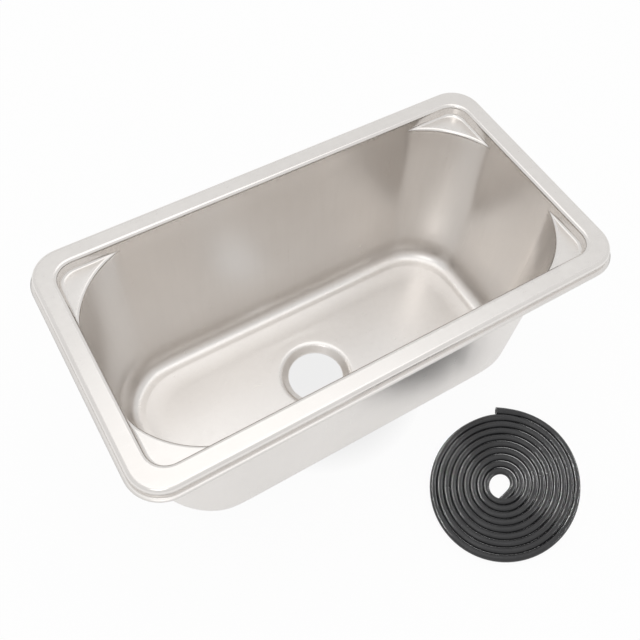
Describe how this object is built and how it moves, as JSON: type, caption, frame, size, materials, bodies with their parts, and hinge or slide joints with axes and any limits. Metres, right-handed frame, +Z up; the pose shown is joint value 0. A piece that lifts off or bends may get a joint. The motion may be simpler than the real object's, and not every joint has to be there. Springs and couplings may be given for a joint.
{
  "type": "camper sink",
  "caption": "Small rectangular drop-in sink pressed from one stainless sheet, with a raised rim, corner shelves and an open drain hole, and its coiled sealing strip.",
  "frame": {"origin": "centre of the sink's outline, on the surface that the drain seat stands on", "axes": "+Z up, +X along the long side, +Y away from the side where the strip lies"},
  "size_m": [0.325, 0.2798, 0.148],
  "materials": {
    "steel": "satin",
    "rubber": "glossy"
  },
  "bodies": {
    "sink": {"sink_shell": "steel"},
    "strip": {"sealing_strip": "rubber"}
  },
  "joints": [
    {"name": "strip_lift", "type": "slide", "parent": "sink", "child": "strip", "axis": [0, 0, 1], "range_m": [0, 0.16]}
  ]
}
